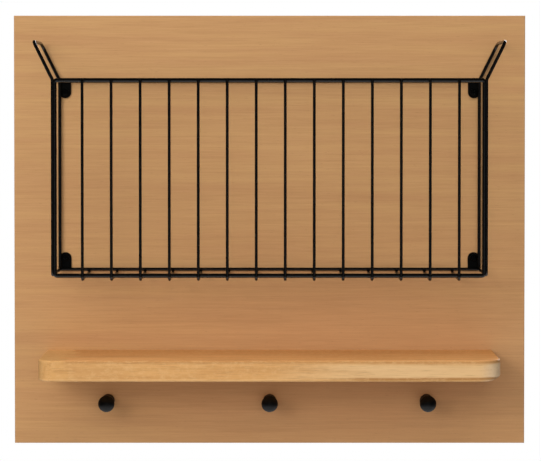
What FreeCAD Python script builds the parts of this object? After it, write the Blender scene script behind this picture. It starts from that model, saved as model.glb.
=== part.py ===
import FreeCAD, Part
import math
import os

# Wall organizer: a wooden back panel that carries a welded wire basket, a solid
# wood shelf and three turned pegs. Sizes are in millimetres.
# X runs to the right, Z up, and the wall is on the +Y side. The origin is the
# centre of the panel's back face.

# Back panel
PANEL_W = 500.0
PANEL_H = 419.0
PANEL_T = 15.0
PANEL_EDGE_R = 0.8

# Keyhole slots routed into the back of the panel
KEYHOLE_SPACING = 400.0
KEYHOLE_Z = 176.0
KEYHOLE_ENTRY_R = 5.0
KEYHOLE_NECK_W = 5.0
KEYHOLE_TRAVEL = 12.0
KEYHOLE_DEPTH = 9.0
KEYHOLE_LIP = 3.0

# Shelf board
SHELF_W = 437.2
SHELF_DEPTH = 100.0
SHELF_T = 20.0
SHELF_TOP_Z = -118.0
SHELF_LEFT_CORNER_R = 18.0
SHELF_RIGHT_CORNER_R = 22.0
SHELF_ROUND_R = 1.8
SHELF_EASE_L = 17.0
SHELF_EASE_H = 4.2

# Basket: wire sizes
LOOP_WIRE_D = 3.2
FRAME_WIRE_D = 4.2
RAIL_WIRE_D = 3.2
RIB_WIRE_D = 2.8
WELD_GAP = 0.05

# Basket: main sizes, measured on the axes of the wires unless it says outside or
# inner. The floor rises a little towards the wall.
BASKET_OUTSIDE_W = 413.2
BASKET_DEPTH = 78.0
TOP_RAIL_Z = 145.4
BOTTOM_RAIL_Z = -39.1
FLOOR_RISE = 1.1
FRAME_STEP_IN = 2.2
FRAME_CORNER_INNER_R = 0.4
LOOP_FOOT_RISE = 0.5
LOOP_FOOT_R = 3.5
WING_BEND_RISE = 0.6
WING_BEND_R = 5.0
WING_RISE = 36.0
WING_ANGLE = 26.3
WING_TIP_R = 8.0

# Basket: the row of bent wires that make its front and floor
RIB_COUNT = 14
RIB_ROW_X = 1.2
RIB_END_INSET = 0.3

# Basket: mounting tabs
TAB_W = 11.5
TAB_L = 18.2
TAB_T = 1.5
TAB_SET_IN = 5.2
TAB_HOLE_D = 4.0
TAB_CORNER_R = 1.0

# Pegs
PEG_LEFT_X = -158.3
PEG_MIDDLE_X = 0.1
PEG_RIGHT_X = 153.8
PEG_Z = -167.7
PEG_L = 32.0
PEG_BASE_R = 6.4
PEG_BASE_T = 2.2
PEG_NECK_R = 4.6
PEG_HEAD_R = 8.0
PEG_HEAD_T = 8.0
PEG_DOME_H = 4.6
PEG_HEAD_BACK_R = 6.6

# Screws
TAB_SCREW_D = 3.5
TAB_SCREW_L = 11.0
TAB_SCREW_HEAD_D = 7.0
TAB_SCREW_HEAD_H = 2.2
TAB_SCREW_RIM_H = 0.9
TAB_SCREW_CROWN_R = 1.2
TAB_SCREW_RECESS_W = 0.9
TAB_SCREW_RECESS_L = 3.8
TAB_SCREW_RECESS_DEPTH = 1.0
WOOD_SCREW_D = 4.0
WOOD_SCREW_HEAD_D = 8.0
WOOD_SCREW_SINK = 0.3
WOOD_SCREW_RECESS_W = 1.1
WOOD_SCREW_RECESS_L = 4.2
WOOD_SCREW_RECESS_DEPTH = 1.4
SHELF_SCREW_L = 45.0
SHELF_SCREW_INNER_X = 62.0
SHELF_SCREW_OUTER_X = 176.0
PEG_SCREW_L = 30.0
SCREW_FIT = 0.05
PILOT_SPARE_L = 1.5
HEAD_FIT = 0.1

# How far a cutter reaches past the face it cuts, and the largest turn in degrees
# between two faces that counts as running on smoothly
CUT_SPARE = 1.0
SMOOTH_TURN = 5.0

# Places that follow from the sizes above. A depth is counted from the front
# face of the panel towards the room.
loop_r = LOOP_WIRE_D / 2
frame_r = FRAME_WIRE_D / 2
rail_r = RAIL_WIRE_D / 2
rib_r = RIB_WIRE_D / 2

loop_x = BASKET_OUTSIDE_W / 2 - loop_r
rear_leg_depth = TAB_T + WELD_GAP + loop_r
front_leg_depth = rear_leg_depth + BASKET_DEPTH
frame_x = loop_x - FRAME_STEP_IN
weld_reach = loop_r + frame_r + WELD_GAP
frame_depth = front_leg_depth + math.sqrt(weld_reach ** 2 - FRAME_STEP_IN ** 2)
frame_corner_r = frame_r + FRAME_CORNER_INNER_R
rear_rail_depth = TAB_T + WELD_GAP + rail_r
rear_rail_back_depth = rear_rail_depth - rail_r
rear_bottom_rail_z = BOTTOM_RAIL_Z - frame_r + rail_r + FLOOR_RISE
rib_bend_r = frame_r + WELD_GAP + rib_r
rib_front_depth = frame_depth + rib_bend_r
rib_pitch = 2 * loop_x / (RIB_COUNT + 1)

# The floor runs under the lower rail of the frame and under the rear rail, so its
# axis is the line that passes each of them at the distance of a weld
rear_seat_r = rail_r + WELD_GAP + rib_r
rail_run = frame_depth - rear_rail_depth
rail_lift = rear_bottom_rail_z - BOTTOM_RAIL_Z
floor_tilt = math.atan2(rail_lift, rail_run) + math.asin(
    (rib_bend_r - rear_seat_r) / math.hypot(rail_run, rail_lift)
)
floor_front_z = BOTTOM_RAIL_Z - rib_bend_r / math.tan((math.pi / 2 - floor_tilt) / 2)
floor_back_z = floor_front_z + (rib_front_depth - rear_rail_back_depth) * math.tan(floor_tilt)

tab_x = loop_x - TAB_SET_IN
top_tab_foot_z = TOP_RAIL_Z + rail_r
bottom_tab_foot_z = rear_bottom_rail_z - rail_r
tab_hole_from_foot = TAB_L - TAB_W / 2
shelf_mid_z = SHELF_TOP_Z - SHELF_T / 2
peg_xs = {"peg_left": PEG_LEFT_X, "peg_middle": PEG_MIDDLE_X, "peg_right": PEG_RIGHT_X}
shelf_screw_xs = (
    -SHELF_SCREW_OUTER_X,
    -SHELF_SCREW_INNER_X,
    SHELF_SCREW_INNER_X,
    SHELF_SCREW_OUTER_X,
)

TO_RIGHT = FreeCAD.Vector(1, 0, 0)
TO_ROOM = FreeCAD.Vector(0, -1, 0)
TO_WALL = FreeCAD.Vector(0, 1, 0)
UP = FreeCAD.Vector(0, 0, 1)


def at(x, depth, z):
    """A point by its depth in front of the panel."""
    return FreeCAD.Vector(x, -PANEL_T - depth, z)


def tab_screw_places():
    """The four tab holes, as (x, z)."""
    top_z = top_tab_foot_z - tab_hole_from_foot
    bottom_z = bottom_tab_foot_z + tab_hole_from_foot
    return [(side * tab_x, z) for z in (top_z, bottom_z) for side in (-1, 1)]


def lines(*points):
    """Straight edges from each point to the next."""
    return [Part.LineSegment(a, b).toShape() for a, b in zip(points, points[1:])]


def tangent_arc(start, tangent, end):
    """The arc that sets out from start along a tangent and reaches end."""
    chord = end - start
    along = FreeCAD.Vector(chord).normalize()
    aside = (tangent - along * tangent.dot(along)).normalize()
    bow = chord.Length / 2 * math.tan(tangent.getAngle(chord) / 2)
    return Part.Arc(start, start + chord / 2 + aside * bow, end).toShape()


def extruded(edges, run):
    """The solid that a closed outline sweeps along a straight run."""
    return Part.Face(Part.Wire(edges)).extrude(run)


def bend_at(before, corner, after, radius):
    """Start, end, centre and axis of the bend that rounds a corner, and its angle in degrees."""
    back = (before - corner).normalize()
    on = (after - corner).normalize()
    half = back.getAngle(on) / 2
    reach = radius / math.tan(half)
    middle = (back + on).normalize()
    centre = corner + middle * (radius / math.sin(half))
    axis = on.cross(back).normalize()
    return corner + back * reach, corner + on * reach, centre, axis, 180 - math.degrees(2 * half)


def bent_wire(corners, bend_radii, radius, closed):
    """A round wire along straight runs with round bends, as one solid.

    A circle is drawn along each run and turned about each bend's axis. In a closed
    wire every corner is bent, and in an open one the first and last are its ends.
    """
    count = len(corners)
    bent_corners = range(count) if closed else range(1, count - 1)
    bends = [
        bend_at(corners[i - 1], corners[i], corners[(i + 1) % count], bend_radii[i])
        for i in bent_corners
    ]
    place = bends[-1][1] if closed else corners[0]
    section = Part.Circle(place, bends[0][0] - place, radius).toShape()
    faces = []
    if not closed:
        faces.append(Part.Face(Part.Wire([section])))
    for start, end, centre, axis, angle in bends:
        run = start - place
        faces.append(section.extrude(run))
        section = section.translated(run)
        faces.append(section.revolve(centre, axis, angle))
        section = section.rotated(centre, axis, angle)
        place = end
    if not closed:
        run = corners[-1] - place
        faces.append(section.extrude(run))
        section = section.translated(run)
        faces.append(Part.Face(Part.Wire([section])))
    shell = Part.makeShell(faces)
    shell.sewShape()
    solid = Part.makeSolid(shell)
    if solid.Volume < 0:
        solid.reverse()
    return solid


def on_profile(radius, height):
    """A point of a turned piece's profile, which lies in the XY plane with its axis along Y."""
    return FreeCAD.Vector(radius, height, 0)


def turned(profile, base, direction):
    """The solid of a closed profile turned about its axis, then set on a base point."""
    solid = Part.Face(Part.Wire(profile)).revolve(FreeCAD.Vector(), FreeCAD.Vector(0, 1, 0), 360)
    solid.Placement = FreeCAD.Placement(base, FreeCAD.Rotation(FreeCAD.Vector(0, 1, 0), direction))
    return solid


def mounting_tab(x, foot_z, upward):
    """A flat tab from its foot on a rear rail to a round end, with a hole at that end's centre."""
    half = TO_RIGHT * (TAB_W / 2)
    foot = at(x, 0, foot_z)
    hole_centre = foot + upward * tab_hole_from_foot
    strip = extruded(
        lines(hole_centre - half, foot - half, foot + half, hole_centre + half)
        + [tangent_arc(hole_centre + half, upward, hole_centre - half)],
        TO_ROOM * TAB_T,
    )
    foot_corners = [
        edge for edge in strip.Edges
        if edge.BoundBox.YLength > TAB_T / 2
        and abs(edge.BoundBox.Center.z - foot_z) < TAB_CORNER_R
    ]
    strip = strip.makeFillet(TAB_CORNER_R, foot_corners)
    hole_start = hole_centre + TO_WALL * CUT_SPARE
    return strip.cut(Part.makeCylinder(TAB_HOLE_D / 2, TAB_T + 2 * CUT_SPARE, hole_start, TO_ROOM))


def cross_recess(width, length, depth, face_centre, inward):
    """The cutter of a cross-shaped driver recess, which runs inward from a screw's face."""
    bars = [
        Part.makeBox(
            size_x, size_y, depth + CUT_SPARE, FreeCAD.Vector(-size_x / 2, -size_y / 2, -CUT_SPARE)
        )
        for size_x, size_y in ((length, width), (width, length))
    ]
    cutter = bars[0].fuse(bars[1])
    cutter.Placement = FreeCAD.Placement(face_centre, FreeCAD.Rotation(UP, inward))
    return cutter


def pan_head_screw(x, z):
    """A pan-head screw through a tab, into the front of the panel."""
    shank_r = TAB_SCREW_D / 2
    head_r = TAB_SCREW_HEAD_D / 2
    tip = on_profile(0, -TAB_SCREW_L)
    crown = on_profile(TAB_SCREW_CROWN_R, TAB_SCREW_HEAD_H)
    rim = on_profile(head_r, TAB_SCREW_RIM_H)
    seat = at(x, TAB_T, z)
    body = turned(
        lines(
            crown,
            on_profile(0, TAB_SCREW_HEAD_H),
            tip,
            on_profile(shank_r, TAB_SCREW_D - TAB_SCREW_L),
            on_profile(shank_r, 0),
            on_profile(head_r, 0),
            rim,
        ) + [tangent_arc(crown, TO_RIGHT, rim)],
        seat, TO_ROOM,
    )
    return body.cut(cross_recess(
        TAB_SCREW_RECESS_W, TAB_SCREW_RECESS_L, TAB_SCREW_RECESS_DEPTH,
        seat + TO_ROOM * TAB_SCREW_HEAD_H, TO_WALL,
    ))


def countersunk_screw(x, z, length):
    """A countersunk screw from the back of the panel towards the room."""
    shank_r = WOOD_SCREW_D / 2
    head_r = WOOD_SCREW_HEAD_D / 2
    head_centre = on_profile(0, 0)
    head_face = FreeCAD.Vector(x, -WOOD_SCREW_SINK, z)
    body = turned(
        lines(
            head_centre,
            on_profile(head_r, 0),
            on_profile(shank_r, head_r - shank_r),
            on_profile(shank_r, length - WOOD_SCREW_D),
            on_profile(0, length),
            head_centre,
        ),
        head_face, TO_ROOM,
    )
    return body.cut(cross_recess(
        WOOD_SCREW_RECESS_W, WOOD_SCREW_RECESS_L, WOOD_SCREW_RECESS_DEPTH, head_face, TO_ROOM
    ))


def countersunk_hole(x, z):
    """The cutter of a clearance hole through the panel with its countersink at the back."""
    hole_r = WOOD_SCREW_D / 2 + SCREW_FIT
    mouth_r = WOOD_SCREW_HEAD_D / 2 + WOOD_SCREW_SINK + HEAD_FIT
    back = FreeCAD.Vector(x, 0, z)
    cone = Part.makeCone(mouth_r, hole_r, mouth_r - hole_r, back, TO_ROOM)
    bore = Part.makeCylinder(
        hole_r, PANEL_T + 2 * CUT_SPARE, back + TO_WALL * CUT_SPARE, TO_ROOM
    )
    return cone.fuse(bore)


def pilot_hole(x, z, screw_length):
    """The cutter of the hole that a screw from the back of the panel takes in front of it."""
    reach = screw_length + WOOD_SCREW_SINK - PANEL_T + PILOT_SPARE_L
    return Part.makeCylinder(
        WOOD_SCREW_D / 2 + SCREW_FIT, reach + CUT_SPARE, at(x, -CUT_SPARE, z), TO_ROOM
    )


def slot(foot, half_width, depth):
    """The cutter of an upright slot with a round upper end, which runs from its foot to the room."""
    half = TO_RIGHT * half_width
    top = foot + UP * KEYHOLE_TRAVEL
    return extruded(
        lines(top - half, foot - half, foot + half, top + half)
        + [tangent_arc(top + half, UP, top - half)],
        TO_ROOM * depth,
    )


def keyhole(x):
    """The cutter of one keyhole slot: a round mouth, a narrow neck and a wider groove behind it."""
    mouth = FreeCAD.Vector(x, 0, KEYHOLE_Z)
    outside = mouth + TO_WALL * CUT_SPARE
    entry = Part.makeCylinder(KEYHOLE_ENTRY_R, KEYHOLE_DEPTH + CUT_SPARE, outside, TO_ROOM)
    neck = slot(outside, KEYHOLE_NECK_W / 2, KEYHOLE_LIP + 2 * CUT_SPARE)
    groove = slot(mouth + TO_ROOM * KEYHOLE_LIP, KEYHOLE_ENTRY_R, KEYHOLE_DEPTH - KEYHOLE_LIP)
    return entry.fuse([neck, groove])


def back_panel():
    """The board that carries everything, with its screw holes and keyhole slots."""
    corner = FreeCAD.Vector(-PANEL_W / 2, -PANEL_T, -PANEL_H / 2)
    board = Part.makeBox(PANEL_W, PANEL_T, PANEL_H, corner)
    front_edges = [edge for edge in board.Edges if edge.BoundBox.YMax < -PANEL_T / 2]
    board = board.makeFillet(PANEL_EDGE_R, front_edges)
    cutters = [keyhole(side * KEYHOLE_SPACING / 2) for side in (-1, 1)]
    pilot_r = TAB_SCREW_D / 2 + SCREW_FIT
    pilot_depth = TAB_SCREW_L - TAB_T + PILOT_SPARE_L
    for x, z in tab_screw_places():
        pilot_start = at(x, CUT_SPARE, z)
        cutters.append(Part.makeCylinder(pilot_r, pilot_depth + CUT_SPARE, pilot_start, TO_WALL))
    for x in shelf_screw_xs:
        cutters.append(countersunk_hole(x, shelf_mid_z))
    for x in peg_xs.values():
        cutters.append(countersunk_hole(x, PEG_Z))
    return board.cut(cutters)


def shelf_board():
    """The shelf: two round corners in plan, a lower right end that is sanded away, soft edges."""
    half = SHELF_W / 2
    bottom_z = SHELF_TOP_Z - SHELF_T
    left_side = at(-half, SHELF_DEPTH - SHELF_LEFT_CORNER_R, bottom_z)
    left_front = at(-half + SHELF_LEFT_CORNER_R, SHELF_DEPTH, bottom_z)
    right_front = at(half - SHELF_RIGHT_CORNER_R, SHELF_DEPTH, bottom_z)
    right_side = at(half, SHELF_DEPTH - SHELF_RIGHT_CORNER_R, bottom_z)
    board = extruded(
        lines(right_side, at(half, 0, bottom_z), at(-half, 0, bottom_z), left_side)
        + [tangent_arc(left_side, TO_ROOM, left_front)]
        + lines(left_front, right_front)
        + [tangent_arc(right_front, TO_RIGHT, right_side)],
        UP * SHELF_T,
    )
    board = board.cut(right_end_ease(half, bottom_z))
    soft_edges = [
        edge for edge in board.Edges
        if edge.BoundBox.YMin < -PANEL_T - SHELF_ROUND_R and not is_smooth(edge, board)
    ]
    board = board.makeFillet(SHELF_ROUND_R, soft_edges)
    return board.cut([pilot_hole(x, shelf_mid_z, SHELF_SCREW_L) for x in shelf_screw_xs])


def right_end_ease(half, bottom_z):
    """The cutter that rounds off the underside of the shelf's right end."""
    start = at(half - SHELF_EASE_L, -CUT_SPARE, bottom_z)
    end = at(half, -CUT_SPARE, bottom_z + SHELF_EASE_H)
    beyond = TO_RIGHT * CUT_SPARE
    below = UP * -CUT_SPARE
    corner = at(half, -CUT_SPARE, bottom_z) + beyond + below
    return extruded(
        [tangent_arc(start, TO_RIGHT, end)] + lines(end, end + beyond, corner, start + below, start),
        TO_ROOM * (SHELF_DEPTH + 2 * CUT_SPARE),
    )


def is_smooth(edge, solid):
    """True where the two faces that meet at an edge run on into each other."""
    faces = solid.ancestorsOfType(edge, Part.Face)
    if len(faces) < 2:
        return True
    point = edge.valueAt((edge.FirstParameter + edge.LastParameter) / 2)
    normals = []
    for face in faces:
        u, v = face.Surface.parameter(point)
        normals.append(face.normalAt(u, v))
    return normals[0].getAngle(normals[1]) < math.radians(SMOOTH_TURN)


def peg(x):
    """A turned peg: a seat against the panel, a waist and a domed head."""
    seat = on_profile(PEG_BASE_R, PEG_BASE_T)
    head_back = on_profile(PEG_HEAD_BACK_R, PEG_L - PEG_HEAD_T)
    waist = on_profile(PEG_NECK_R, (PEG_BASE_T + PEG_L - PEG_HEAD_T) / 2)
    rim = on_profile(PEG_HEAD_R, PEG_L - PEG_DOME_H)
    crown = on_profile(0, PEG_L)
    body = turned(
        lines(crown, on_profile(0, 0), on_profile(PEG_BASE_R, 0), seat)
        + [
            Part.Arc(seat, waist, head_back).toShape(),
            tangent_arc(rim, on_profile(0, -1), head_back),
            tangent_arc(crown, TO_RIGHT, rim),
        ],
        at(x, 0, PEG_Z), TO_ROOM,
    )
    return body.cut(pilot_hole(x, PEG_Z, PEG_SCREW_L))


def front_frame():
    """The closed rectangle of thicker wire at the front of the basket."""
    corners = [
        at(-frame_x, frame_depth, BOTTOM_RAIL_Z),
        at(frame_x, frame_depth, BOTTOM_RAIL_Z),
        at(frame_x, frame_depth, TOP_RAIL_Z),
        at(-frame_x, frame_depth, TOP_RAIL_Z),
    ]
    return bent_wire(corners, [frame_corner_r] * len(corners), frame_r, closed=True)


def side_loop(side):
    """One end of the basket: a closed loop whose upper part leans out as a wing."""
    x = side * loop_x
    wing_x = side * (loop_x + WING_RISE * math.tan(math.radians(WING_ANGLE)))
    foot_z = BOTTOM_RAIL_Z + LOOP_FOOT_RISE
    bend_z = TOP_RAIL_Z + WING_BEND_RISE
    tip_z = bend_z + WING_RISE
    corners = [
        at(x, rear_leg_depth, foot_z),
        at(x, rear_leg_depth, bend_z),
        at(wing_x, rear_leg_depth, tip_z),
        at(wing_x, front_leg_depth, tip_z),
        at(x, front_leg_depth, bend_z),
        at(x, front_leg_depth, foot_z),
    ]
    radii = [LOOP_FOOT_R, WING_BEND_R, WING_TIP_R, WING_TIP_R, WING_BEND_R, LOOP_FOOT_R]
    return bent_wire(corners, radii, loop_r, closed=True)


def rear_rail(z):
    """A straight wire between the rear legs of the side loops."""
    length = 2 * (loop_x - loop_r - WELD_GAP)
    left_end = at(-length / 2, rear_rail_depth, z)
    return Part.makeCylinder(rail_r, length, left_end, TO_RIGHT)


def rib(x):
    """One bent wire: down the front of the frame, round its lower rail and back to the rear rail."""
    top_z = TOP_RAIL_Z + frame_r - RIB_END_INSET
    corners = [
        at(x, rib_front_depth, top_z),
        at(x, rib_front_depth, floor_front_z),
        at(x, rear_rail_back_depth, floor_back_z),
    ]
    return bent_wire(corners, [0, rib_bend_r, 0], rib_r, closed=False)


def build_nodes():
    """Every piece by its name."""
    nodes = {"back_panel": back_panel(), "shelf_board": shelf_board()}
    for name, x in peg_xs.items():
        nodes[name] = peg(x)
    nodes["basket_front_frame"] = front_frame()
    nodes["basket_side_loop_left"] = side_loop(-1)
    nodes["basket_side_loop_right"] = side_loop(1)
    nodes["basket_rear_rail_top"] = rear_rail(TOP_RAIL_Z)
    nodes["basket_rear_rail_bottom"] = rear_rail(rear_bottom_rail_z)
    first_x = RIB_ROW_X - rib_pitch * (RIB_COUNT - 1) / 2
    for number in range(RIB_COUNT):
        nodes[f"basket_rib_{number + 1:02d}"] = rib(first_x + number * rib_pitch)
    for side, hand in ((-1, "left"), (1, "right")):
        x = side * tab_x
        nodes[f"basket_tab_top_{hand}"] = mounting_tab(x, top_tab_foot_z, UP * -1)
        nodes[f"basket_tab_bottom_{hand}"] = mounting_tab(x, bottom_tab_foot_z, UP)
    nodes["tab_screws"] = Part.makeCompound([pan_head_screw(x, z) for x, z in tab_screw_places()])
    nodes["shelf_screws"] = Part.makeCompound(
        [countersunk_screw(x, shelf_mid_z, SHELF_SCREW_L) for x in shelf_screw_xs]
    )
    nodes["peg_screws"] = Part.makeCompound(
        [countersunk_screw(x, PEG_Z, PEG_SCREW_L) for x in peg_xs.values()]
    )
    return nodes


os.makedirs("parts", exist_ok=True)
for node_name, node_shape in build_nodes().items():
    node_shape.exportStep(f"parts/{node_name}.step")
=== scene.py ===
import math

import bmesh
import bpy
from mathutils import Matrix, Vector


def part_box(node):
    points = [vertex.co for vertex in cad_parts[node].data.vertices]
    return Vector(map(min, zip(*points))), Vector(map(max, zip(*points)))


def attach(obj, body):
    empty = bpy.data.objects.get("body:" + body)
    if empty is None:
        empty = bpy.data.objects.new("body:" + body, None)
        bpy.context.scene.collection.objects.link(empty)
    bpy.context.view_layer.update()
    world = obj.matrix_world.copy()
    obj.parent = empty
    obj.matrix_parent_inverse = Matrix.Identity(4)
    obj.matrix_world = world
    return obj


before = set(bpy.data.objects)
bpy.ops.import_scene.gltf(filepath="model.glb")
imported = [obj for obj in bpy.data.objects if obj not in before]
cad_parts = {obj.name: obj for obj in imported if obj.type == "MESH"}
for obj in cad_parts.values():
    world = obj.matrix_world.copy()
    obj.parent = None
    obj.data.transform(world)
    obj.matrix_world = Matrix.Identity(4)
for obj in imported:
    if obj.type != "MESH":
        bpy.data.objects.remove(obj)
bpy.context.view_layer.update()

# A wall organizer: wooden panel, wire basket, solid wood shelf and three pegs.
# Everything is in metres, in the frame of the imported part: X to the right, Z up,
# the wall on the +Y side and the origin at the centre of the panel's back face.

MM = 0.001

# Camera, fitted to the corners of the panel, the wires and the shelf
CAMERA_PLACE = Vector((0.95, -2342.4, 119.2)) * MM
CAMERA_PITCH = math.radians(1.386)
CAMERA_LENS = 158.23
CAMERA_SENSOR = 36.0
CAMERA_SHIFT_Y = -0.12

# A pale floor at the height where such a thing hangs above one
FLOOR_Z = -1.5
FLOOR_HALF = 4.5
FLOOR_GLOW = 0.40

# The sky's strength as it lights things, in reflections and as a backdrop
SKY_LIGHT = 0.104
SKY_MIRRORED = 0.04
SKY_BACKDROP = 1.0
WHITE = (1.0, 1.0, 1.0, 1.0)

# Colours of the panel's wood
PANEL_REDDER = (0.595, 0.302, 0.132)
PANEL_YELLOWER = (0.610, 0.338, 0.138)
PANEL_UPPER = (0.606, 0.350, 0.142)
PANEL_BAND = (0.543, 0.282, 0.119)
PANEL_LINE = (0.448, 0.217, 0.090)
PANEL_HAIR = (0.703, 0.395, 0.188)
PANEL_FLECK = (0.340, 0.158, 0.066)

# Colours of the shelf's wood
SHELF_GROUND = (0.745, 0.388, 0.136)
SHELF_GOLD = (0.775, 0.430, 0.160)
SHELF_TOP_FRONT = (0.890, 0.445, 0.160)
# Painted shade: the colour of the top at the wall, where the panel shades it
SHELF_TOP_PAINTED_SHADE = (0.600, 0.265, 0.074)
SHELF_TOP_STREAK = (0.560, 0.235, 0.066)
SHELF_SAPWOOD = (0.840, 0.535, 0.255)
# Painted light on the right end, which faces away from the lamps
SHELF_RIGHT_END_PAINTED_LIGHT = (0.990, 0.700, 0.420)
# Golden wood at the left end, which also stands as painted light on the end's top
SHELF_LEFT_END_GOLD_AND_LIT = (0.735, 0.392, 0.137)
SHELF_EDGE_LINE = (0.540, 0.255, 0.085)
SHELF_LOW_LINE = (0.430, 0.190, 0.050)
# Painted highlight along the rounded low edge of the front
SHELF_LOW_EDGE_HIGHLIGHT = (0.880, 0.500, 0.200)
SHELF_LATE_WOOD = (0.500, 0.225, 0.065)
SHELF_PALE_FLECK = (0.860, 0.540, 0.250)
SHELF_PORE = (0.430, 0.200, 0.070)

# Colours of the black coats, the screws and the floor
COAT_BLACK = (0.0012, 0.0010, 0.0009)
TAB_BLACK = (0.0022, 0.0020, 0.0019)
SCREW_BLACK = (0.0020, 0.0020, 0.0020)
ZINC_GREY = (0.58, 0.59, 0.60)
ZINC_YELLOW = (0.66, 0.63, 0.55)
FLOOR_GREY = (0.88, 0.88, 0.88)
FLOOR_WHITE = (0.90, 0.90, 0.90)
WOOD_SPECULAR = 0.30


# Node trees


def add_node(tree, kind, values=None, **settings):
    """A new node with its settings, and with constants or links on its named inputs."""
    node = tree.nodes.new(kind)
    for name, value in settings.items():
        setattr(node, name, value)
    for name, value in (values or {}).items():
        if isinstance(value, bpy.types.NodeSocket):
            tree.links.new(value, node.inputs[name])
        else:
            node.inputs[name].default_value = value
    return node


def new_material(name):
    """An empty material and its tree, as (material, tree)."""
    material = bpy.data.materials.new(name)
    material.use_nodes = True
    material.node_tree.nodes.clear()
    return material, material.node_tree


def finish_material(tree, shader):
    output = add_node(tree, "ShaderNodeOutputMaterial")
    tree.links.new(shader.outputs["BSDF"], output.inputs["Surface"])


def part_coordinates(tree):
    return add_node(tree, "ShaderNodeTexCoord").outputs["Object"]


def vector_math(tree, operation, first, second):
    values = {0: first, 1: second}
    return add_node(tree, "ShaderNodeVectorMath", values, operation=operation).outputs[0]


def stretched(tree, cycles, offset=(0.0, 0.0, 0.0)):
    """The part's own coordinates, with so many pattern units to the metre on each axis."""
    moved = vector_math(tree, "ADD", part_coordinates(tree), offset)
    return vector_math(tree, "MULTIPLY", moved, cycles)


def part_axes(tree):
    """The part's own X, Y and Z in metres."""
    values = {"Vector": part_coordinates(tree)}
    return add_node(tree, "ShaderNodeSeparateXYZ", values).outputs[:]


def calculate(tree, operation, *values):
    numbered = dict(enumerate(values))
    return add_node(tree, "ShaderNodeMath", numbered, operation=operation).outputs[0]


def product(tree, first, *others):
    """Factors multiplied together, each a link or a constant."""
    result = first
    for other in others:
        result = calculate(tree, "MULTIPLY", result, other)
    return result


def rise(tree, value, start, end):
    """From 0 to 1, smoothly, while a value goes from start to end."""
    return add_node(tree, "ShaderNodeMapRange", {
        "Value": value, "From Min": start, "From Max": end,
    }, interpolation_type="SMOOTHSTEP").outputs["Result"]


def noise(tree, vector, detail=3.0, roughness=0.55):
    return add_node(tree, "ShaderNodeTexNoise", {
        "Vector": vector, "Scale": 1.0, "Detail": detail, "Roughness": roughness,
    }).outputs["Fac"]


def ramp(tree, factor, *stops):
    """A factor turned into another by (position, level) stops."""
    node = add_node(tree, "ShaderNodeValToRGB", {"Fac": factor})
    elements = node.color_ramp.elements
    while len(elements) < len(stops):
        elements.new(0.5)
    for element, (position, level) in zip(elements, stops):
        element.position = position
        element.color = (level, level, level, 1.0)
    return node.outputs["Color"]


def mix(tree, factor, first, second):
    """Two colours, each a link or a constant, mixed by a factor."""
    node = add_node(tree, "ShaderNodeMix", {0: factor}, data_type="RGBA")
    for index, colour in ((6, first), (7, second)):
        if isinstance(colour, tuple):
            node.inputs[index].default_value = (*colour, 1.0)
        else:
            tree.links.new(colour, node.inputs[index])
    return node.outputs[2]


def bump(tree, height, distance):
    values = {"Height": height, "Distance": distance}
    return add_node(tree, "ShaderNodeBump", values).outputs["Normal"]


# Materials


def panel_wood():
    """Beech-like board with a fine level grain, under a dull clear lacquer."""
    material, tree = new_material("panel_wood_look")
    clouds = noise(tree, stretched(tree, (1.8, 9.0, 7.0)), detail=2.0)
    bands = noise(tree, stretched(tree, (5.0, 60.0, 95.0), (0.7, 0.0, 0.3)), detail=3.0)
    lines = noise(tree, stretched(tree, (14.0, 700.0, 620.0), (0.2, 0.0, 0.9)), detail=3.0)
    hairs = noise(tree, stretched(tree, (45.0, 2100.0, 1900.0)), detail=2.0)
    flecks = noise(tree, stretched(tree, (150.0, 1400.0, 1300.0), (3.1, 0.0, 0.0)), detail=1.0)
    up = part_axes(tree)[2]

    cloud_share = ramp(tree, clouds, (0.36, 0.0), (0.64, 1.0))
    colour = mix(tree, cloud_share, PANEL_REDDER, PANEL_YELLOWER)
    upper_share = product(tree, rise(tree, up, -80 * MM, 60 * MM), 0.7)
    colour = mix(tree, upper_share, colour, PANEL_UPPER)
    colour = mix(tree, ramp(tree, bands, (0.36, 0.1), (0.68, 0.9)), colour, PANEL_BAND)
    colour = mix(tree, ramp(tree, lines, (0.42, 0.0), (0.74, 0.34)), colour, PANEL_LINE)
    colour = mix(tree, ramp(tree, hairs, (0.46, 0.0), (0.78, 0.30)), colour, PANEL_HAIR)
    colour = mix(tree, ramp(tree, flecks, (0.66, 0.0), (0.74, 0.30)), colour, PANEL_FLECK)
    shader = add_node(tree, "ShaderNodeBsdfPrincipled", {
        "Base Color": colour,
        "Roughness": ramp(tree, lines, (0.3, 0.50), (0.75, 0.62)),
        "Specular IOR Level": WOOD_SPECULAR,
        "Normal": bump(tree, hairs, 0.06 * MM),
    })
    finish_material(tree, shader)
    return material


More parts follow.
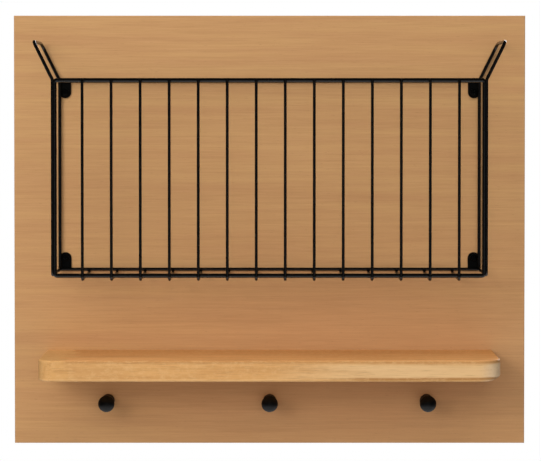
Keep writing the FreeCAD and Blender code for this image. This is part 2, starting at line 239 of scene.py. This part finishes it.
def shelf_wood():
    """Oiled solid wood: grain along the shelf, with painted shade on top that makes it darker and
    redder towards the wall, paler low right.
    """
    material, tree = new_material("shelf_wood_look")
    lowest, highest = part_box("shelf_board")
    axes = part_axes(tree)
    off_right_end = rise(tree, axes[0], highest.x - 8 * MM, highest.x - 24 * MM)
    colour = shelf_zones(tree, axes, lowest, highest)

    ring_share = ramp(tree, growth_rings(tree), (0.0, 0.20), (0.30, 0.0), (0.80, 0.03), (1.0, 0.18))
    colour = mix(tree, product(tree, ring_share, off_right_end), colour, SHELF_LATE_WOOD)
    streaks = noise(tree, stretched(tree, (6.0, 170.0, 420.0), (0.0, 0.2, 0.4)), detail=3.0)
    colour = mix(tree, ramp(tree, streaks, (0.50, 0.0), (0.72, 0.24)), colour, SHELF_LATE_WOOD)
    mottle = noise(tree, stretched(tree, (230.0, 300.0, 340.0)), detail=4.0, roughness=0.72)
    mottle_share = ramp(tree, mottle, (0.46, 0.0), (0.70, 0.42))
    colour = mix(tree, product(tree, mottle_share, off_right_end), colour, SHELF_PALE_FLECK)
    pores = noise(tree, stretched(tree, (60.0, 1100.0, 1100.0)), detail=2.0)
    pore_share = ramp(tree, pores, (0.54, 0.0), (0.74, 0.40))
    colour = mix(tree, product(tree, pore_share, off_right_end), colour, SHELF_PORE)
    shader = add_node(tree, "ShaderNodeBsdfPrincipled", {
        "Base Color": colour,
        "Roughness": ramp(tree, pores, (0.3, 0.48), (0.75, 0.60)),
        "Specular IOR Level": WOOD_SPECULAR,
        "Normal": bump(tree, pores, 0.10 * MM),
    })
    finish_material(tree, shader)
    return material


def shelf_zones(tree, axes, lowest, highest):
    """The colours of the shelf by place, with borders that sway along the grain."""
    across, into, up = axes
    sway = noise(tree, stretched(tree, (9.0, 60.0, 60.0), (0.3, 0.0, 0.0)), detail=2.0)
    swayed_across = calculate(tree, "MULTIPLY_ADD", sway, 60 * MM, across)
    swayed_up = calculate(tree, "MULTIPLY_ADD", sway, 2 * MM, up)

    # Front and sides, from the darker to the more golden wood
    clouds = noise(tree, stretched(tree, (7.0, 30.0, 45.0), (0.4, 0.1, 0.0)), detail=2.0)
    colour = mix(tree, ramp(tree, clouds, (0.36, 0.0), (0.64, 1.0)), SHELF_GROUND, SHELF_GOLD)

    # Top, with painted shade that darkens it towards the wall, and streaked
    topmost = rise(tree, up, highest.z - 0.7 * MM, highest.z - 0.2 * MM)
    top_colour = mix(tree, rise(tree, into, lowest.y, highest.y), SHELF_TOP_FRONT, SHELF_TOP_PAINTED_SHADE)
    top_streaks = noise(tree, stretched(tree, (5.0, 62.0, 0.0), (0.6, 0.1, 0.0)), detail=3.0)
    top_streak_share = ramp(tree, top_streaks, (0.42, 0.0), (0.62, 0.55))
    top_colour = mix(tree, top_streak_share, top_colour, SHELF_TOP_STREAK)
    colour = mix(tree, topmost, colour, top_colour)

    # Pale sapwood on the right half of the front, and painted light on the right end, which faces
    # away from the lamps
    below_top = rise(tree, up, highest.z - 1.5 * MM, highest.z - 6 * MM)
    above_foot = rise(tree, up, lowest.z + 1.0 * MM, lowest.z + 4 * MM)
    to_right = rise(tree, swayed_across, 10 * MM, 130 * MM)
    sapwood = product(tree, below_top, above_foot, to_right)
    colour = mix(tree, sapwood, colour, SHELF_SAPWOOD)
    painted_light_right_end = rise(tree, across, highest.x - 24 * MM, highest.x - 4 * MM)
    colour = mix(tree, product(tree, below_top, painted_light_right_end), colour, SHELF_RIGHT_END_PAINTED_LIGHT)

    # Thin dark line under the top edge
    edge_line = product(
        tree,
        rise(tree, up, highest.z - 3.6 * MM, highest.z - 1.6 * MM),
        rise(tree, up, highest.z - 0.2 * MM, highest.z - 0.7 * MM),
        0.75,
    )
    colour = mix(tree, edge_line, colour, SHELF_EDGE_LINE)

    # Duller wood on the left, and the golden end beyond it: a more golden tint of the wood, and
    # painted light on the end's top, which replaces the top's painted shade there
    dull_left = rise(tree, swayed_across, lowest.x + 140 * MM, lowest.x + 95 * MM)
    colour = mix(tree, product(tree, dull_left, below_top, 0.28), colour, SHELF_EDGE_LINE)
    gold_and_lit_left_end = rise(tree, swayed_across, lowest.x + 62 * MM, lowest.x + 54 * MM)
    colour = mix(tree, gold_and_lit_left_end, colour, SHELF_LEFT_END_GOLD_AND_LIT)

    # Low on the front: a dark line on the right and a painted highlight along the low edge on the
    # left
    low_line = product(
        tree,
        rise(tree, swayed_up, lowest.z + 5.6 * MM, lowest.z + 4.2 * MM),
        rise(tree, swayed_up, lowest.z + 2.0 * MM, lowest.z + 3.2 * MM),
        rise(tree, swayed_across, 50 * MM, 140 * MM),
        0.85,
    )
    colour = mix(tree, low_line, colour, SHELF_LOW_LINE)
    painted_low_edge_highlight = product(
        tree,
        rise(tree, up, lowest.z + 3.2 * MM, lowest.z + 1.6 * MM),
        rise(tree, swayed_across, 140 * MM, 60 * MM),
        0.8,
    )
    return mix(tree, painted_low_edge_highlight, colour, SHELF_LOW_EDGE_HIGHLIGHT)


def growth_rings(tree):
    """Rings around an axis along the shelf, which lies above and behind it."""
    warped = noise(tree, stretched(tree, (7.0, 30.0, 30.0)), detail=2.0)
    rings_at = stretched(tree, (0.35, 1.0, 1.0), (0.0, 0.30, 0.19))
    warp = add_node(tree, "ShaderNodeVectorMath", {
        0: add_node(tree, "ShaderNodeCombineXYZ", {"Y": warped, "Z": warped}).outputs[0],
        "Scale": 10 * MM,
    }, operation="SCALE").outputs[0]
    return add_node(tree, "ShaderNodeTexWave", {
        "Vector": vector_math(tree, "ADD", rings_at, warp),
        "Scale": 58.0, "Distortion": 1.6, "Detail": 2.0, "Detail Scale": 1.2,
    }, wave_type="RINGS", rings_direction="X", wave_profile="SAW").outputs["Fac"]


def black_coat(name, tint, roughness, specular, grain, depth):
    """A thin black coat: fine orange peel, with patches that shine a little more."""
    material, tree = new_material(name)
    peel = noise(tree, stretched(tree, (grain, grain, grain)), detail=2.0)
    patches = noise(tree, stretched(tree, (40.0, 40.0, 40.0)), detail=2.0)
    darker = tuple(channel * 0.6 for channel in tint)
    shader = add_node(tree, "ShaderNodeBsdfPrincipled", {
        "Base Color": mix(tree, patches, darker, tint),
        "Roughness": ramp(tree, patches, (0.3, roughness - 0.05), (0.7, roughness + 0.05)),
        "Specular IOR Level": specular,
        "Normal": bump(tree, peel, depth),
    })
    finish_material(tree, shader)
    return material


def zinc():
    """Bright zinc on the screws at the back, with turning marks and a faint yellow tint."""
    material, tree = new_material("screw_zinc_look")
    marks = noise(tree, stretched(tree, (900.0, 900.0, 900.0)), detail=2.0)
    stain = noise(tree, stretched(tree, (160.0, 160.0, 160.0)), detail=3.0)
    shader = add_node(tree, "ShaderNodeBsdfPrincipled", {
        "Base Color": mix(tree, stain, ZINC_GREY, ZINC_YELLOW),
        "Metallic": 1.0,
        "Roughness": ramp(tree, marks, (0.3, 0.26), (0.7, 0.40)),
        "Normal": bump(tree, marks, 0.02 * MM),
    })
    finish_material(tree, shader)
    return material


def floor_paint():
    """Matt white paint that fades away towards the edge of the floor."""
    material, tree = new_material("floor_paint")
    shade = noise(tree, stretched(tree, (0.7, 0.7, 0.7)), detail=2.0)
    from_centre = add_node(
        tree, "ShaderNodeVectorMath",
        {0: stretched(tree, (1 / FLOOR_HALF, 1 / FLOOR_HALF, 0.0))}, operation="LENGTH",
    ).outputs["Value"]
    shader = add_node(tree, "ShaderNodeBsdfPrincipled", {
        "Base Color": mix(tree, shade, FLOOR_GREY, FLOOR_WHITE),
        "Roughness": 0.8,
        "Specular IOR Level": 0.1,
        "Emission Color": WHITE,
        "Emission Strength": FLOOR_GLOW,
        "Alpha": ramp(tree, from_centre, (0.45, 1.0), (1.0, 0.0)),
    })
    finish_material(tree, shader)
    return material


LOOKS = {
    "panel_wood": panel_wood(),
    "shelf_wood": shelf_wood(),
    "wire_black": black_coat(
        "wire_black_look", COAT_BLACK, roughness=0.26, specular=0.46, grain=900.0, depth=0.03 * MM
    ),
    "peg_black": black_coat(
        "peg_black_look", COAT_BLACK, roughness=0.38, specular=0.25, grain=500.0, depth=0.02 * MM
    ),
    "screw_black": black_coat(
        "screw_black_look", SCREW_BLACK, roughness=0.30, specular=0.06, grain=1500.0, depth=0.01 * MM
    ),
    "screw_zinc": zinc(),
}

# The tabs are duller than the wires of the same slot
TAB_LOOK = black_coat(
    "tab_black_look", TAB_BLACK, roughness=0.50, specular=0.10, grain=900.0, depth=0.04 * MM
)

for name, cad_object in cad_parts.items():
    for material_slot in cad_object.material_slots:
        if name.startswith("basket_tab_"):
            material_slot.material = TAB_LOOK
        else:
            material_slot.material = LOOKS[material_slot.material.name]


# Weld beads

BEAD_SEGMENTS = 12
BEAD_RINGS = 8

# Half sizes of the beads
RIB_BEAD = Vector((1.7, 0.9, 1.7)) * MM
RIB_END_BEAD = Vector((1.7, 1.7, 0.9)) * MM
UPRIGHT_BEAD = Vector((1.1, 1.1, 4.0)) * MM
LEVEL_BEAD = Vector((3.6, 1.0, 1.0)) * MM
CROSSING_BEAD = Vector((1.5, 1.2, 1.5)) * MM

# The side loops meet the front frame, the rear rails and the tabs along these lines
LOOP_SEAM_X = 204.0 * MM
LOOP_SEAM_Y = -97.5 * MM
RAIL_SEAM_X = 203.3 * MM
RAIL_SEAM_Y = -18.1 * MM
TAB_SEAM_X = 205.0 * MM
TAB_RAIL_X = 198.7 * MM
TAB_FACE_Y = -16.5 * MM
LOOP_SEAM_INSET = 9 * MM
TAB_SEAM_INSET = 7 * MM


def beads(name, places):
    """Small weld beads as one piece, from (centre, half sizes) pairs."""
    mesh = bmesh.new()
    for centre, halves in places:
        bmesh.ops.create_uvsphere(
            mesh, u_segments=BEAD_SEGMENTS, v_segments=BEAD_RINGS, radius=1.0,
            matrix=Matrix.Translation(centre) @ Matrix.Diagonal((*halves, 1.0)),
        )
    for face in mesh.faces:
        face.smooth = True
    data = bpy.data.meshes.new(name)
    mesh.to_mesh(data)
    mesh.free()
    piece = bpy.data.objects.new(name, data)
    bpy.context.scene.collection.objects.link(piece)
    data.materials.append(LOOKS["wire_black"])
    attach(piece, "root")


def middle(node):
    lowest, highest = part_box(node)
    return (lowest + highest) / 2


frame_low, frame_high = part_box("basket_front_frame")
frame_wire = frame_high.y - frame_low.y
top_rail_z = frame_high.z - frame_wire / 2
bottom_rail_z = frame_low.z + frame_wire / 2
rear_rail_y = middle("basket_rear_rail_bottom").y
rear_rail_foot_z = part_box("basket_rear_rail_bottom")[0].z

rib_beads = []
for rib in sorted(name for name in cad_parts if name.startswith("basket_rib_")):
    x = middle(rib).x
    rib_beads.append((Vector((x, frame_low.y, top_rail_z)), RIB_BEAD))
    rib_beads.append((Vector((x, frame_low.y, bottom_rail_z)), RIB_BEAD))
    rib_beads.append((Vector((x, rear_rail_y, rear_rail_foot_z)), RIB_END_BEAD))
beads("weld_beads_ribs", rib_beads)

seam_beads = []
for side in (-1, 1):
    for rail_z, inward in ((top_rail_z, -1), (bottom_rail_z, 1)):
        z = rail_z + inward * LOOP_SEAM_INSET
        seam_beads.append((Vector((side * LOOP_SEAM_X, LOOP_SEAM_Y, z)), UPRIGHT_BEAD))
    for rail, inward in (("basket_rear_rail_top", -1), ("basket_rear_rail_bottom", 1)):
        rail_z = middle(rail).z
        z = rail_z + inward * TAB_SEAM_INSET
        seam_beads.append((Vector((side * RAIL_SEAM_X, RAIL_SEAM_Y, rail_z)), CROSSING_BEAD))
        seam_beads.append((Vector((side * TAB_RAIL_X, TAB_FACE_Y, rail_z)), LEVEL_BEAD))
        seam_beads.append((Vector((side * TAB_SEAM_X, TAB_FACE_Y, z)), UPRIGHT_BEAD))
beads("weld_beads_sides", seam_beads)


# Camera, light, floor


def make_camera():
    data = bpy.data.cameras.new("photo_camera")
    data.lens = CAMERA_LENS
    data.sensor_width = CAMERA_SENSOR
    data.shift_y = CAMERA_SHIFT_Y
    data.clip_start = 0.05
    data.clip_end = 200.0
    camera = bpy.data.objects.new("photo_camera", data)
    camera.location = CAMERA_PLACE
    camera.rotation_euler = (math.pi / 2 - CAMERA_PITCH, 0.0, 0.0)
    bpy.context.scene.collection.objects.link(camera)
    bpy.context.scene.camera = camera


def soft_box(name, place, width, height, power, mirrored):
    """A white area light that looks at the origin, and may be seen in reflections or not."""
    data = bpy.data.lights.new(name, "AREA")
    data.shape = "RECTANGLE"
    data.size = width
    data.size_y = height
    data.energy = power
    lamp = bpy.data.objects.new(name, data)
    lamp.location = place
    lamp.rotation_euler = (-Vector(place)).to_track_quat("-Z", "Y").to_euler()
    lamp.visible_glossy = mirrored
    lamp.visible_camera = False
    bpy.context.scene.collection.objects.link(lamp)


def make_world():
    """A white backdrop that lights the object less than it shows, and is dim in reflections."""
    world = bpy.data.worlds.new("studio")
    bpy.context.scene.world = world
    world.use_nodes = True
    tree = world.node_tree
    tree.nodes.clear()
    rays = add_node(tree, "ShaderNodeLightPath").outputs
    sky = add_node(tree, "ShaderNodeBackground", {"Color": WHITE, "Strength": SKY_LIGHT})
    for ray, strength in (("Is Glossy Ray", SKY_MIRRORED), ("Is Camera Ray", SKY_BACKDROP)):
        other = add_node(tree, "ShaderNodeBackground", {"Color": WHITE, "Strength": strength})
        sky = add_node(tree, "ShaderNodeMixShader", {
            "Fac": rays[ray], 1: sky.outputs[0], 2: other.outputs[0],
        })
    output = add_node(tree, "ShaderNodeOutputWorld")
    tree.links.new(sky.outputs[0], output.inputs["Surface"])


def make_floor():
    mesh = bmesh.new()
    bmesh.ops.create_grid(mesh, x_segments=1, y_segments=1, size=FLOOR_HALF)
    data = bpy.data.meshes.new("floor")
    mesh.to_mesh(data)
    mesh.free()
    floor = bpy.data.objects.new("floor", data)
    floor.location = (0.0, 0.0, FLOOR_Z)
    floor.visible_diffuse = False
    bpy.context.scene.collection.objects.link(floor)
    data.materials.append(floor_paint())


make_camera()
make_floor()
make_world()
soft_box("key", (-1.42, -2.46, 0.98), width=1.4, height=1.1, power=32.0, mirrored=False)
soft_box("top", (0.0, -0.9, 1.9), width=2.4, height=1.4, power=25.0, mirrored=False)
soft_box("front", (0.2, -3.0, 0.2), width=2.0, height=1.5, power=14.5, mirrored=False)
soft_box("left", (-1.9, -2.1, 0.15), width=1.2, height=1.0, power=8.5, mirrored=False)
soft_box("glint", (0.1, -2.8, -0.15), width=1.8, height=0.6, power=1.9, mirrored=True)
soft_box("bounce", (0.0, -0.3, -1.4), width=6.0, height=5.0, power=29.0, mirrored=False)
soft_box("back", (0.9, 2.6, 1.0), width=1.6, height=1.2, power=60.0, mirrored=True)
bpy.context.scene.view_settings.view_transform = "Standard"

bpy.context.view_layer.update()
